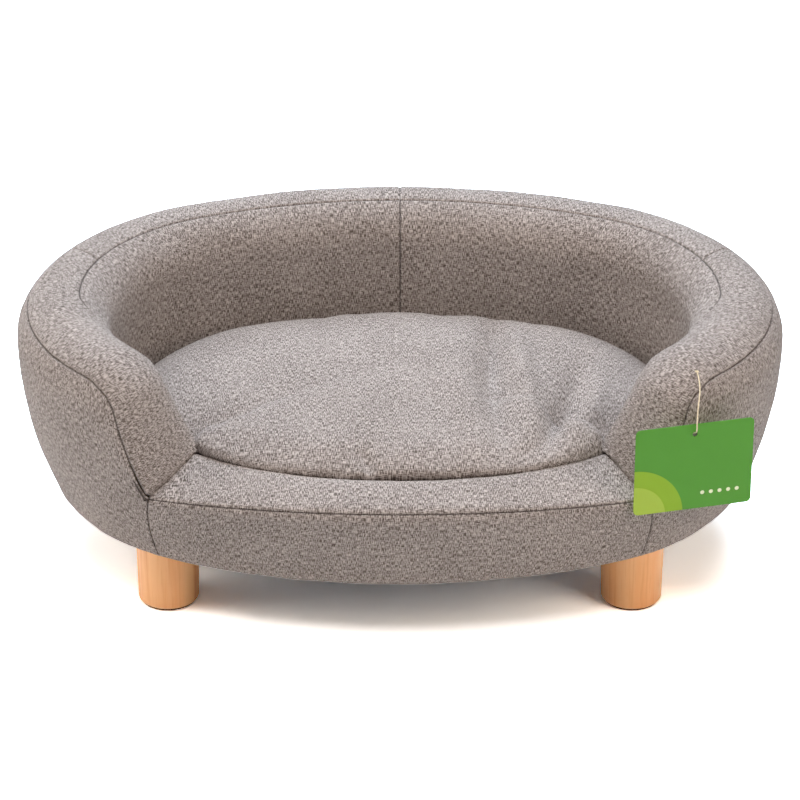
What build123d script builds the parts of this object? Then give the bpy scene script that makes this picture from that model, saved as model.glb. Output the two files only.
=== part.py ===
from build123d import *
import math
import os

# Outline of the body seen from above: two round ends joined by two long arcs
body_width = 790.0
body_depth = 582.0
side_bow = 29.0

# Padded wall: it bulges outwards and ends in a round rim
body_height = 283.0
wall_thickness = 96.0
rim_corner = 47.0
base_inset = 45.93
base_corner = 12.0

# Arm nose, where the wall drops to the low front
foot_bearing = 62.0
foot_height = 158.0
foot_corner = 14.0
nose_bend = 46.0
nose_slope = 77.0
nose_stations = 17

# Low front: slightly crowned and a little thinner in its middle
front_crown = 18.0
front_thinning = 12.0
front_outer_corner = 7.0
front_inner_corner = 26.0
front_stations = 15

# Seams, as angles up the rounded corners and as bearings round the body
rim_seam_angle = 40.0
foot_seam_angle = 20.0
inner_seam_angle = 68.0
inner_foot_seam_angle = 35.0
front_seam_angle = 15.0
cross_seam_bearing = 24.0
back_bearing = 90.0

# Cloth, and the clearance between layers that lie on each other
cloth = 1.2
ease = 0.05
nose_ease = 0.3
outer_flange_inset = 70.0
inner_flange_inset = 121.0
lining_thickness = 0.6
lining_gap = 0.5

# Wooden frame
board_thickness = 15.0
board_inset = 52.0
rim_padding = 42.8
frame_head_inset = 28.0
frame_inner_inset = 76.0
panel_thickness = 3.0
rail_thickness = 12.0
rib_thickness = 15.0
rib_bearings = (-22.0, 2.0, 24.0, 46.0, 68.0)
front_rail_height = 52.0
front_rail_inset = 53.0
front_rail_thickness = 18.0

# Legs with their screw fixing
leg_end_inset = 158.0
leg_side_inset = 140.0
leg_length = 66.5
leg_top_radius = 32.3
leg_foot_radius = 31.2
leg_edge = 3.0
pad_radius = 28.0
pad_thickness = 2.5
bolt_radius = 4.0
bolt_in_leg = 30.0
bolt_below_board_top = 1.0
nut_radius = 11.0
nut_flange = 1.3
nut_barrel_radius = 5.0
nut_barrel_length = 10.0

# Screws and staples
screw_radius = 1.9
screw_head_radius = 4.0
screw_head_height = 2.5
screw_length = 40.0
screw_inset = 66.0
front_screw_bearings = (-112.0, -101.0, -90.0, -79.0, -68.0)
staple_crown = 11.0
staple_wire = 0.6
staple_leg = 7.0
cover_staple_inset = 60.0
cover_staple_count = 48
lining_staple_inset = 76.0
lining_staple_count = 36
staple_free_radius = 42.0

# Loose cushion: its side draws in above and below the widest line, and its top is crowned
cushion_gap = 1.0
cushion_height = 100.0
cushion_rest = 0.3
cushion_waist_share = 0.42
cushion_side_shares = (
    (0.113, 0.0), (0.028, 0.14), (0.0, 0.42), (0.03, 0.66),
    (0.12, 0.80), (0.27, 0.90), (0.50, 0.965), (0.79, 1.0),
)

# Card tag on a string at the right arm; the string goes through the card from the front
tag_width = 122.0
tag_height = 94.0
tag_thickness = 0.8
tag_corner = 5.0
tag_turn = 14.5
tag_hole_drop = 11.0
tag_hole_radius = 2.6
tag_hang_drop = 1.2
knot_radius = 3.0
knot_gap = 0.4
knot_bite = 1.0
stitch_radius = 1.8
stitch_gap = 0.3
string_radius = 0.7
string_bend_share = 0.45
string_route = (
    (292.4, -183.6, 273.3),
    (293.9, -192.6, 270.0),
    (294.0, -204.4, 262.4),
    (291.5, -216.2, 251.6),
    (290.2, -226.0, 240.6),
    (290.3, -229.8, 232.2),
    (288.9, -223.5, 227.6),
)

# Values worked out from those above
half_width = body_width / 2
half_depth = body_depth / 2
end_radius = half_depth - side_bow
end_centre = half_width - end_radius
long_radius = (end_centre**2 + half_depth**2 - end_radius**2) / (2 * (half_depth - end_radius))
long_centre = long_radius - half_depth
end_bearing = math.degrees(math.atan2(long_centre, end_centre))
body_floor = pad_thickness + leg_length
board_floor = body_floor + cloth
board_top = board_floor + board_thickness
rim_centre = body_height - rim_corner
frame_top = body_height - rim_padding
frame_height = frame_top - board_top
leg_across = half_width - leg_end_inset
leg_along = half_depth - leg_side_inset
middle_radius = end_radius - wall_thickness / 2
foam_inset = cloth + ease
tag_hang = string_route[-1]

# The wall's bulge meets the rounded base edge where both arcs have one tangent
base_rise = rim_centre - body_floor - base_corner
bulge_radius = (base_rise**2 + base_inset**2 - base_corner**2) / (2 * (base_inset - base_corner))
base_angle = math.atan2(base_rise, bulge_radius - base_inset)

# Run of the nose, from the start of its bend to its foot
slope = math.radians(nose_slope)
bend_drop = nose_bend * (1 - math.cos(slope))
nose_drop = body_height - foot_height
nose_run = nose_bend * math.sin(slope) + (nose_drop - bend_drop) / math.tan(slope)
nose_bearing = foot_bearing - math.degrees(nose_run / middle_radius)


def outline_arc(bearing):
    """Centre and radius of the outline's arc whose outward normal points at a bearing."""
    turn = math.radians(bearing)
    if abs(math.sin(turn)) <= math.sin(math.radians(end_bearing)):
        return math.copysign(end_centre, math.cos(turn)), 0.0, end_radius
    return 0.0, -math.copysign(long_centre, math.sin(turn)), long_radius


def place(bearing, inset, height):
    """Point that lies inset from the outline at a bearing, at a height above the floor."""
    x, y, radius = outline_arc(bearing)
    turn = math.radians(bearing)
    reach = radius - inset
    return Vector(x + reach * math.cos(turn), y + reach * math.sin(turn), height)


def section(bearing, strokes):
    """Closed wire of lines and arcs in the upright plane square to the outline."""
    edges = []
    for stroke in strokes:
        spots = [place(bearing, inset, height) for inset, height in stroke]
        if len(spots) == 2:
            edges.append(Edge.make_line(*spots))
        else:
            edges.append(Edge.make_three_point_arc(*spots))
    return Wire(edges)


def ring(strokes, start, stop):
    """One section carried round the outline from one bearing to another."""
    joints = [turn * 180 + side * end_bearing for turn in (-1, 0, 1, 2) for side in (-1, 1)]
    cuts = [start] + sorted(joint for joint in joints if start < joint < stop) + [stop]
    pieces = []
    for first, last in zip(cuts, cuts[1:]):
        x, y, _ = outline_arc((first + last) / 2)
        axis = Axis((x, y, 0), (0, 0, 1))
        pieces.append(Solid.revolve(Face(section(first, strokes)), last - first, axis))
    if len(pieces) == 1:
        return pieces[0]
    return pieces[0].fuse(*pieces[1:])


def skin_loft(strokes_at, start, stop, stations):
    """Sections that change along the outline, joined by one smooth loft."""
    step = (stop - start) / (stations - 1)
    bearings = [start + step * index for index in range(stations)]
    return Solid.make_loft([section(bearing, strokes_at(bearing)) for bearing in bearings])


def backwards(chain):
    return [tuple(reversed(stroke)) for stroke in reversed(chain)]


def closed(outer, inner):
    """Outer chain and inner chain of a layer, closed at both ends by short lines."""
    end = (outer[-1][-1], inner[-1][-1])
    start = (inner[0][0], outer[0][0])
    return outer + [end] + backwards(inner) + [start]


class Wall:
    """The wall in the upright plane at one bearing, as chains of strokes at any depth below its surface."""

    def __init__(self, bearing):
        spread = abs(bearing + 90)
        self.is_front = round(spread, 6) < 90 - foot_bearing
        self.bearing = bearing
        if self.is_front:
            self.set_front()
        else:
            self.set_arm(90 - spread if bearing < 90 else 0.0)

    def set_front(self):
        bulge_share = 1 - (place(self.bearing, 0, 0).X / place(-foot_bearing, 0, 0).X) ** 2
        self.thickness = wall_thickness - front_thinning * bulge_share
        self.top = foot_height + front_crown * bulge_share
        self.outer_corner = front_outer_corner
        self.inner_corner = front_inner_corner
        self.outer_seam = front_seam_angle
        self.inner_seam = 0.0

    def set_arm(self, turn):
        self.run = max(0.0, math.radians(turn - nose_bearing) * middle_radius)
        share = self.run / nose_run
        self.thickness = wall_thickness
        self.outer_corner = rim_corner + (foot_corner - rim_corner) * share**2
        self.inner_corner = self.outer_corner
        self.outer_seam = rim_seam_angle + (foot_seam_angle - rim_seam_angle) * share
        self.inner_seam = inner_seam_angle + (inner_foot_seam_angle - inner_seam_angle) * share

    def crest(self, depth):
        """Height of the top: level, then an arc, then a straight slope down to the foot."""
        if self.is_front:
            return self.top - depth
        bend = nose_bend - depth
        if self.run < bend * math.sin(slope):
            return body_height - nose_bend + math.sqrt(bend**2 - self.run**2)
        below = (self.run - bend * math.sin(slope)) * math.tan(slope)
        return body_height - nose_bend + bend * math.cos(slope) - below

    def face_inset(self, height, depth):
        """Inset of the bulging outer face at a height."""
        return bulge_radius - math.sqrt((bulge_radius - depth) ** 2 - (rim_centre - height) ** 2)

    def outer_corner_spot(self, angle, depth):
        radius = self.outer_corner - depth
        level = self.crest(depth) - radius
        centre = self.face_inset(level, depth) + radius
        turn = math.radians(angle)
        return centre - radius * math.cos(turn), level + radius * math.sin(turn)

    def inner_corner_spot(self, angle, depth):
        radius = self.inner_corner - depth
        level = self.crest(depth) - radius
        centre = self.thickness - self.inner_corner
        turn = math.radians(angle)
        return centre + radius * math.cos(turn), level + radius * math.sin(turn)

    def outer_arc(self, start, stop, depth):
        angles = (start, (start + stop) / 2, stop)
        return tuple(self.outer_corner_spot(angle, depth) for angle in angles)

    def inner_arc(self, start, stop, depth):
        angles = (start, (start + stop) / 2, stop)
        return tuple(self.inner_corner_spot(angle, depth) for angle in angles)

    def face_strokes(self, depth, bottom_inset):
        """Bulging face, rounded base edge and the flat return under the body."""
        top = self.outer_corner_spot(0, depth)
        radius = bulge_radius - depth
        start_angle = math.asin((rim_centre - top[1]) / radius)
        mid_angle = (start_angle + base_angle) / 2
        middle = (bulge_radius - radius * math.cos(mid_angle), rim_centre - radius * math.sin(mid_angle))
        low = (bulge_radius - radius * math.cos(base_angle), rim_centre - radius * math.sin(base_angle))
        edge = base_corner - depth
        edge_angle = (base_angle + math.pi / 2) / 2
        edge_level = body_floor + base_corner
        turn = (base_inset - edge * math.cos(edge_angle), edge_level - edge * math.sin(edge_angle))
        under = (base_inset, body_floor + depth)
        flat_end = (bottom_inset, body_floor + depth)
        return [(top, middle, low), (low, turn, under), (under, flat_end)]

    def outer_cover(self, depth):
        seam = [self.outer_arc(self.outer_seam, 0, depth)]
        return seam + self.face_strokes(depth, outer_flange_inset)

    def rim_cover(self, depth):
        rise = self.outer_arc(self.outer_seam, 90, depth)
        fall = self.inner_arc(90, self.inner_seam, depth)
        return [rise, (rise[-1], fall[0]), fall]

    def inner_cover(self, depth):
        fall = self.inner_arc(self.inner_seam, 0, depth)
        return [fall] + self.inner_return(fall[-1], depth)

    def front_top_cover(self, depth):
        rise = self.outer_arc(self.outer_seam, 90, depth)
        fall = self.inner_arc(90, 0, depth)
        return [rise, (rise[-1], fall[0]), fall] + self.inner_return(fall[-1], depth)

    def inner_return(self, top, depth):
        """Straight inner face and the flat return on the base board."""
        low = (self.thickness - depth, board_top + cloth - depth)
        return [(top, low), (low, (inner_flange_inset, board_top + cloth - depth))]

    def foam_block(self):
        """Solid padding from the outer face to the inner face, standing on the base board."""
        depth = cloth + nose_ease
        rise = self.outer_arc(90, 0, depth)
        fall = self.inner_arc(90, 0, depth)
        notch = board_inset - ease
        floor = body_floor + depth
        face = self.face_strokes(depth, notch)
        low = (self.thickness - depth, board_top)
        under = [((notch, floor), (notch, board_top)), ((notch, board_top), low)]
        return [rise] + face + under + [(low, fall[-1])] + backwards([fall]) + [(fall[0], rise[0])]


def outer_cover_strokes(bearing):
    wall = Wall(bearing)
    return closed(wall.outer_cover(0), wall.outer_cover(cloth))


def rim_cover_strokes(bearing):
    wall = Wall(bearing)
    return closed(wall.rim_cover(0), wall.rim_cover(cloth))


def inner_cover_strokes(bearing):
    wall = Wall(bearing)
    return closed(wall.inner_cover(0), wall.inner_cover(cloth))


def front_top_strokes(bearing):
    wall = Wall(bearing)
    return closed(wall.front_top_cover(0), wall.front_top_cover(cloth))


def foam_strokes(bearing):
    return Wall(bearing).foam_block()


def arm_and_back(strokes_at, stop):
    """A right-hand layer: lofted over the nose, then carried round with one section to a bearing."""
    nose = skin_loft(strokes_at, -foot_bearing, -nose_bearing, nose_stations)
    return nose.fuse(ring(strokes_at(0), -nose_bearing, stop))


def mirrored(solid):
    return solid.mirror(Plane.YZ)


def both_sides(name, solid):
    return {name + "_right": solid, name + "_left": mirrored(solid)}


def oval(inset, height):
    """Flat face inside the outline, as four arcs."""
    cuts = (-end_bearing, end_bearing, 180 - end_bearing, 180 + end_bearing, 360 - end_bearing)
    edges = []
    for first, last in zip(cuts, cuts[1:]):
        spots = [place(turn, inset, height) for turn in (first, (first + last) / 2, last)]
        edges.append(Edge.make_three_point_arc(*spots))
    return Face(Wire(edges))


def plate(inset, floor, thickness):
    return Solid.extrude(oval(inset, floor), Vector(0, 0, thickness))


def post(x, y, floor, radius, length):
    return Solid.make_cylinder(radius, length, Plane((x, y, floor)))


def leg_places():
    return {
        "leg_front_left": (-leg_across, -leg_along),
        "leg_front_right": (leg_across, -leg_along),
        "leg_back_left": (-leg_across, leg_along),
        "leg_back_right": (leg_across, leg_along),
    }


def covers():
    """Sewn panels of the wall, each as one layer of cloth."""
    parts = both_sides("cover_outer", arm_and_back(outer_cover_strokes, back_bearing))
    parts |= both_sides("cover_inner", arm_and_back(inner_cover_strokes, back_bearing))
    parts |= both_sides("cover_arm", arm_and_back(rim_cover_strokes, cross_seam_bearing))
    back_rim = ring(rim_cover_strokes(0), cross_seam_bearing, back_bearing)
    parts |= both_sides("cover_rim_back", back_rim)
    start, stop = foot_bearing - 180, -foot_bearing
    parts["cover_front_face"] = skin_loft(outer_cover_strokes, start, stop, front_stations)
    parts["cover_front_top"] = skin_loft(front_top_strokes, start, stop, front_stations)
    return parts


def panel_inset(height):
    """Inset of the leaning outer panel's outer face at a height."""
    share = (height - board_top) / frame_height
    return board_inset + (frame_head_inset - board_inset) * share


def frame():
    """Boards and bent panels inside the wall, from one arm round the back to the other."""
    start, stop = -nose_bearing, 180 + nose_bearing
    rail_floor = frame_top - rail_thickness
    rail_outer = panel_inset(rail_floor) + panel_thickness + ease
    inner_face = frame_inner_inset - panel_thickness
    parts = {}
    head = (frame_head_inset, frame_top)
    foot = (board_inset, board_top)
    inner_head = (frame_head_inset + panel_thickness, frame_top)
    inner_foot = (board_inset + panel_thickness, board_top)
    parts["outer_panel"] = ring(polygon(foot, inner_foot, inner_head, head), start, stop)
    parts["inner_panel"] = ring(box(inner_face, frame_inner_inset, board_top, frame_top), start, stop)
    rail = box(rail_outer, inner_face - ease, rail_floor, frame_top)
    parts["top_rail"] = ring(rail, start, stop)
    rib = polygon(
        (inner_foot[0] + ease, board_top),
        (inner_face - ease, board_top),
        (inner_face - ease, rail_floor),
        (rail_outer, rail_floor),
    )
    parts["wall_ribs"] = ribs(rib)
    return parts


def box(first_inset, last_inset, floor, top):
    return polygon((first_inset, floor), (last_inset, floor), (last_inset, top), (first_inset, top))


def polygon(*spots):
    return [(first, last) for first, last in zip(spots, spots[1:] + spots[:1])]


def rib_spans():
    """Bearings where each right-hand rib starts and stops, the arm post first."""
    post_turn = math.degrees(rib_thickness / middle_radius)
    spans = [(-nose_bearing, -nose_bearing + post_turn)]
    for bearing in rib_bearings:
        half_turn = math.degrees(rib_thickness / 2 / (outline_arc(bearing)[2] - wall_thickness / 2))
        spans.append((bearing - half_turn, bearing + half_turn))
    return spans


def ribs(strokes):
    half_turn = math.degrees(rib_thickness / 2 / (long_radius - wall_thickness / 2))
    solids = [ring(strokes, back_bearing - half_turn, back_bearing + half_turn)]
    for start, stop in rib_spans():
        rib = ring(strokes, start, stop)
        solids += [rib, mirrored(rib)]
    return Compound(solids)


def front_rail(grow):
    """Curved board on edge inside the low front, from arm post to arm post."""
    strokes = box(
        front_rail_inset - grow,
        front_rail_inset + front_rail_thickness + grow,
        board_top,
        board_top + front_rail_height + grow,
    )
    return ring(strokes, nose_bearing - 180, -nose_bearing)


def foams():
    """Padding: three layers round the back, a block in each arm and one in the front."""
    start, stop = -nose_bearing, 180 + nose_bearing
    wall = Wall(0)
    depth = foam_inset
    inner = frame_inner_inset + ease
    outer_spot = (depth, rim_centre)
    inner_spot = (wall_thickness - depth, rim_centre)
    rise = wall.outer_arc(0, 90, depth)
    fall = wall.inner_arc(90, 0, depth)
    saddle = [
        (inner_spot, (inner, rim_centre)),
        ((inner, rim_centre), (inner, frame_top + ease)),
        ((inner, frame_top + ease), (frame_head_inset - ease, frame_top + ease)),
        ((frame_head_inset - ease, frame_top + ease), (panel_inset(rim_centre) - ease, rim_centre)),
        ((panel_inset(rim_centre) - ease, rim_centre), outer_spot),
    ]
    parts = {}
    parts["rim_foam"] = ring([rise, (rise[-1], fall[0]), fall] + saddle, start, stop)
    edge = board_inset - ease
    leaning = [
        ((edge, body_floor + depth), (edge, board_top)),
        ((edge, board_top), (panel_inset(rim_centre) - ease, rim_centre)),
        ((panel_inset(rim_centre) - ease, rim_centre), outer_spot),
    ]
    parts["outer_foam"] = ring(wall.face_strokes(depth, edge) + leaning, start, stop)
    parts["inner_foam"] = ring(box(inner, wall_thickness - depth, board_top, rim_centre), start, stop)
    slot = front_rail(ease)
    arm = skin_loft(foam_strokes, -foot_bearing, -nose_bearing, nose_stations).cut(slot)
    parts |= both_sides("arm_foam", arm)
    front = skin_loft(foam_strokes, foot_bearing - 180, -foot_bearing, front_stations)
    parts["front_foam"] = front.cut(slot)
    return parts


def base_board():
    """Oval plywood with a stepped hole for each leg nut."""
    board = plate(board_inset, board_floor, board_thickness)
    recess = nut_flange + ease
    cuts = []
    for x, y in leg_places().values():
        cuts.append(post(x, y, board_floor, nut_barrel_radius + ease, board_thickness))
        cuts.append(post(x, y, board_top - recess, nut_radius + ease, recess))
    return board.cut(*cuts)


def linings():
    seat = plate(inner_flange_inset + lining_gap, board_top, cloth)
    floor = board_floor - lining_thickness
    base = plate(outer_flange_inset + lining_gap, floor, lining_thickness)
    holes = [
        post(x, y, floor, nut_barrel_radius + ease, lining_thickness) for x, y in leg_places().values()
    ]
    return {"seat_lining": seat, "base_lining": base.cut(*holes)}


def leg(x, y):
    """Slightly tapered round leg, rounded at its foot, with a blind hole for its bolt."""
    body = Solid.make_cone(leg_foot_radius, leg_top_radius, leg_length, Plane((x, y, pad_thickness)))
    foot_edge = body.edges().sort_by(Axis.Z)[0]
    body = body.fillet(leg_edge, [foot_edge])
    return body.cut(post(x, y, body_floor - bolt_in_leg, bolt_radius + ease, bolt_in_leg))


def leg_fixings():
    """Bolts, barrel nuts with a flange, and felt pads, four of each."""
    bolts, nuts, pads = [], [], []
    bolt_floor = body_floor - bolt_in_leg + ease
    bolt_length = board_top - bolt_below_board_top - bolt_floor
    for x, y in leg_places().values():
        bolts.append(post(x, y, bolt_floor, bolt_radius, bolt_length))
        flange = post(x, y, board_top - nut_flange, nut_radius, nut_flange)
        barrel = post(x, y, board_top - nut_flange - nut_barrel_length, nut_barrel_radius, nut_barrel_length)
        bore = post(x, y, board_floor, bolt_radius + ease, board_thickness)
        nuts.append(flange.fuse(barrel).cut(bore))
        pads.append(post(x, y, 0, pad_radius, pad_thickness))
    return {"leg_bolts": Compound(bolts), "leg_nuts": Compound(nuts), "leg_pads": Compound(pads)}


def frame_screws():
    """Countersunk screws up through the board into each rib and into the front rail."""
    bearings = [back_bearing] + list(front_screw_bearings)
    for start, stop in rib_spans():
        middle = (start + stop) / 2
        bearings += [middle, 180 - middle]
    solids = []
    for bearing in bearings:
        spot = place(bearing, screw_inset, board_floor)
        head = Solid.make_cone(screw_head_radius, screw_radius, screw_head_height, Plane(spot))
        shank = Solid.make_cylinder(screw_radius, screw_length, Plane(spot))
        solids.append(head.fuse(shank))
    return Compound(solids)


def staple(bearing, inset, level):
    """Wire staple: a crown flat under the cloth and two legs up into the board."""
    turn = math.radians(bearing)
    spot = place(bearing, inset, level - staple_wire)
    frame_here = Plane(spot, x_dir=(-math.sin(turn), math.cos(turn), 0), z_dir=(0, 0, 1))
    crown = Box(staple_crown, staple_wire, staple_wire, align=(Align.CENTER, Align.CENTER, Align.MIN))
    tall = staple_leg + staple_wire
    prong = Box(staple_wire, staple_wire, tall, align=(Align.MIN, Align.CENTER, Align.MIN))
    first = Pos(-staple_crown / 2, 0, 0) * prong
    last = Pos(staple_crown / 2 - staple_wire, 0, 0) * prong
    return frame_here.location * (crown + first + last)


def staples():
    """Two rings of staples, with none where a leg stands."""
    rows = (
        (cover_staple_inset, body_floor, cover_staple_count),
        (lining_staple_inset, board_floor - lining_thickness, lining_staple_count),
    )
    solids = []
    for inset, level, count in rows:
        for index in range(count):
            bearing = even_bearing(index / count)
            spot = place(bearing, inset, level)
            gaps = [math.hypot(spot.X - x, spot.Y - y) for x, y in leg_places().values()]
            if min(gaps) > staple_free_radius:
                solids += staple(bearing, inset, level).solids()
    return Compound(solids)


def even_bearing(share):
    """Bearing at a share of the way round the outline, by arc length."""
    end_length = 2 * math.radians(end_bearing) * end_radius
    long_turn = 180 - 2 * end_bearing
    long_length = math.radians(long_turn) * long_radius
    length = share * 2 * (end_length + long_length)
    bearing = -end_bearing
    for arc_length, radius in ((end_length, end_radius), (long_length, long_radius)) * 2:
        if length <= arc_length:
            return bearing + math.degrees(length / radius)
        length -= arc_length
        bearing += math.degrees(arc_length / radius)
    return bearing


def cushion_half(depth, upper):
    """Cushion above or below its widest line, at a depth below its surface, as a loft of level ovals."""
    reach = half_depth - wall_thickness - cushion_gap
    floor = board_top + cloth + cushion_rest
    ovals = []
    for inset_share, height_share in cushion_side_shares:
        is_waist = height_share == cushion_waist_share
        if is_waist or (height_share > cushion_waist_share) == upper:
            inset = wall_thickness + cushion_gap + depth + inset_share * (reach - depth)
            sink = 0 if is_waist else math.copysign(depth, height_share - cushion_waist_share)
            ovals.append(oval(inset, floor + height_share * cushion_height - sink).outer_wire())
    return Solid.make_loft(ovals)


def cushion():
    """Top and base panels sewn at the widest line, round one filling."""
    return {
        "cushion_cover_top": cushion_half(0, True).cut(cushion_half(cloth, True)),
        "cushion_cover_base": cushion_half(0, False).cut(cushion_half(cloth, False)),
        "cushion_fill": cushion_half(foam_inset, True).fuse(cushion_half(foam_inset, False)),
    }


def tag_plane():
    """Frame of the card: its origin at the string, +Y up the card, +Z out of its front."""
    turn = math.radians(tag_turn)
    return Plane(tag_hang, x_dir=(math.cos(turn), math.sin(turn), 0), z_dir=(math.sin(turn), -math.cos(turn), 0))


def hang_tag():
    card = RectangleRounded(tag_width, tag_height, tag_corner)
    card = Pos(0, tag_hole_drop - tag_height / 2) * card - Circle(tag_hole_radius)
    return extrude(tag_plane() * Pos(0, -tag_hang_drop) * card, tag_thickness / 2, both=True)


def tag_knot():
    back = tag_thickness / 2 + knot_gap + knot_radius
    return Solid.make_sphere(knot_radius, tag_plane().offset(-back))


def tag_string():
    """Thread of straight runs and tangent arcs, from its stitch through the card's hole to its knot."""
    last = tag_plane().offset(-tag_thickness / 2 - knot_gap - knot_bite).origin
    points = [Vector(*spot) for spot in string_route] + [last]
    radii = []
    for before, here, after in zip(points, points[1:], points[2:]):
        turn = math.radians((here - before).get_angle(after - here))
        shorter = min((here - before).length, (after - here).length)
        radii.append(string_bend_share * shorter / math.tan(turn / 2))
    path = FilletPolyline(*points, radius=radii)
    print("tag_string length", round(path.length, 1), "radii", [round(radius, 1) for radius in radii])
    start = Plane(path @ 0, z_dir=path % 0)
    return sweep(start * Circle(string_radius), path)


def tag_stitch():
    """Small thread knot sewn to the arm, where the string starts."""
    start = Vector(*string_route[0])
    away = (start - Vector(*string_route[1])).normalized()
    return Solid.make_sphere(stitch_radius, Plane(start + away * (stitch_radius + stitch_gap)))


def main():
    nodes = covers() | frame() | foams() | linings() | leg_fixings() | cushion()
    nodes["front_rail"] = front_rail(0)
    nodes["base_board"] = base_board()
    nodes["frame_screws"] = frame_screws()
    nodes["staples"] = staples()
    for name, (x, y) in leg_places().items():
        nodes[name] = leg(x, y)
    nodes["hang_tag"] = hang_tag()
    nodes["tag_knot"] = tag_knot()
    nodes["tag_string"] = tag_string()
    nodes["tag_stitch"] = tag_stitch()
    os.makedirs("parts", exist_ok=True)
    for name, shape in nodes.items():
        export_step(shape, "parts/" + name + ".step")


main()
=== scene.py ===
import math

import bpy
import numpy as np
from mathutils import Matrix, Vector


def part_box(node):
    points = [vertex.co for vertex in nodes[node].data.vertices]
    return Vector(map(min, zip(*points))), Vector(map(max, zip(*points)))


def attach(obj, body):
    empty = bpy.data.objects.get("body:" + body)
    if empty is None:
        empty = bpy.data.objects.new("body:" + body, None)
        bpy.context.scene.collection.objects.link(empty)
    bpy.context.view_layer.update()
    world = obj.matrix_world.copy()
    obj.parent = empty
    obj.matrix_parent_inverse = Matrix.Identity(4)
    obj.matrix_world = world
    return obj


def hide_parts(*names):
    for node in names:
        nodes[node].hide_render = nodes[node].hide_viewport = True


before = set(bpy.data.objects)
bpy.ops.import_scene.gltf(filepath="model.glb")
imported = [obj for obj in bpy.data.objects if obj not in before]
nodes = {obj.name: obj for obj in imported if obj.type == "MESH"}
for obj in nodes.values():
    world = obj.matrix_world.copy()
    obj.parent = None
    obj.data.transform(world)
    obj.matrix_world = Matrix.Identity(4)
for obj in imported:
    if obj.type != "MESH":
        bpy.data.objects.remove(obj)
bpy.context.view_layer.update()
scene = bpy.context.scene

# Camera: a long lens straight in front of the bed, looking 27 degrees down at the middle of the wall's height.
# The lens is given in picture widths, so that the bed fills the square frame as it does in the photograph.
lens_per_frame = 4.375
camera_sensor = 36
camera_target = Vector((0, 0, 0.1499))
camera_distance = 3.661
camera_pitch = math.radians(27)

camera_data = bpy.data.cameras.new("camera")
camera_data.sensor_width = camera_sensor
camera_data.lens = lens_per_frame * camera_sensor
camera_data.clip_end = 50


def placed(name, data):
    """New object in the scene that holds this data."""
    made = bpy.data.objects.new(name, data)
    scene.collection.objects.link(made)
    return made


camera = placed("camera", camera_data)
camera_back = Vector((0, -math.cos(camera_pitch), math.sin(camera_pitch)))
camera.location = camera_target + camera_distance * camera_back
camera.rotation_euler = (math.pi / 2 - camera_pitch, 0, 0)
scene.camera = camera


def linear(red, green, blue):
    """Colour as the shaders take it, from the 0 to 255 values that a picture shows."""
    parts = np.array([red, green, blue]) / 255
    parts = np.where(parts <= 0.04045, parts / 12.92, ((parts + 0.055) / 1.055) ** 2.4)
    return (*map(float, parts), 1.0)


class Shader:
    """Node tree of one material, with short calls for the nodes that the finishes here are made of."""

    def __init__(self, name):
        self.material = bpy.data.materials.new(name)
        self.material.use_nodes = True
        self.tree = self.material.node_tree
        self.surface = self.tree.nodes["Principled BSDF"]

    def node(self, kind, inputs=(), **settings):
        made = self.tree.nodes.new("ShaderNode" + kind)
        for key, value in settings.items():
            setattr(made, key, value)
        for key, value in dict(inputs).items():
            self.feed(made.inputs[key], value)
        return made

    def feed(self, socket, value):
        if isinstance(value, bpy.types.NodeSocket):
            self.tree.links.new(value, socket)
        else:
            socket.default_value = value

    def math(self, operation, first, second=0.0):
        return self.node("Math", {0: first, 1: second}, operation=operation).outputs[0]

    def place(self, source, scale, offset=(0, 0, 0)):
        return self.node("Mapping", {"Vector": source, "Scale": scale, "Location": offset}).outputs[0]

    def object_place(self, scale, offset=(0, 0, 0)):
        return self.place(self.node("TexCoord").outputs["Object"], scale, offset)

    def noise(self, place, detail, roughness=0.5):
        inputs = {"Vector": place, "Scale": 1.0, "Detail": detail, "Roughness": roughness}
        return self.node("TexNoise", inputs).outputs["Fac"]

    def spread(self, value, low, high, new_low=0.0, new_high=1.0):
        inputs = {"Value": value, 1: low, 2: high, 3: new_low, 4: new_high}
        return self.node("MapRange", inputs, interpolation_type="SMOOTHSTEP").outputs[0]

    def mix(self, share, first, second):
        made = self.node("Mix", data_type="RGBA")
        self.feed(made.inputs[0], share)
        self.feed(made.inputs[6], first)
        self.feed(made.inputs[7], second)
        return made.outputs[2]

    def bump(self, height, distance, strength=1.0):
        made = self.node("Bump", {"Height": height, "Distance": distance, "Strength": strength})
        self.feed(self.surface.inputs["Normal"], made.outputs[0])

    def finish(self, color, roughness, **sockets):
        self.feed(self.surface.inputs["Base Color"], color)
        self.feed(self.surface.inputs["Roughness"], roughness)
        for name, value in sockets.items():
            socket = name.replace("_", " ").title().replace("Ior", "IOR")
            self.feed(self.surface.inputs[socket], value)
        return self.material


def paint(names, material):
    """The frame's own pieces take this finish."""
    for name in names:
        nodes[name].data.materials.clear()
        nodes[name].data.materials.append(material)


# Tag string: a limp cream cotton thread, knotted on the right arm. It lies over the arm's curve, hangs down and
# goes through the card's hole from the front, to a knot behind the card. Its route is that of the solid thread.
string_diameter = 0.0014
back_knot_size = 0.0023
arm_knot_size = 0.0016
arm_knot_up = (0, 0.9, -0.43)
string_route = (
    (0.2924, -0.1836, 0.2733),
    (0.2939, -0.1926, 0.2700),
    (0.2940, -0.2044, 0.2624),
    (0.2915, -0.2162, 0.2516),
    (0.2902, -0.2260, 0.2406),
    (0.2903, -0.2298, 0.2322),
    (0.2889, -0.2235, 0.2276),
    (0.28845, -0.22176, 0.2276),
)


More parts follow.
